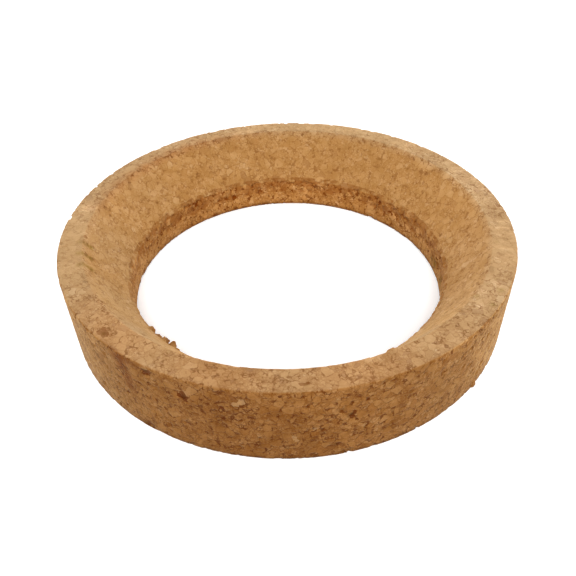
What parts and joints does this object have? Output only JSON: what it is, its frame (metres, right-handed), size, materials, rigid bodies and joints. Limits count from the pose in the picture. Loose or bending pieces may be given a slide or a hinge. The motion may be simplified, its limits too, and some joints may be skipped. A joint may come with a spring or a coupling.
{
  "type": "cork ring",
  "caption": "Turned ring of pressed cork granules with a flat base, a flat rim and a conical seat above an open throat, to stand a round-bottomed flask upright.",
  "frame": {"origin": "centre of the flat base, on the ring's axis", "axes": "+Z along the ring's axis, from the base up to the rim and the open seat; the ring is round, so X and Y are equal"},
  "size_m": [0.16, 0.16, 0.03],
  "materials": {
    "cork": "matt pressed cork granules, tan with darker flecks, sanded by turning"
  },
  "bodies": {
    "root": {"cork_ring": "cork"}
  },
  "joints": []
}
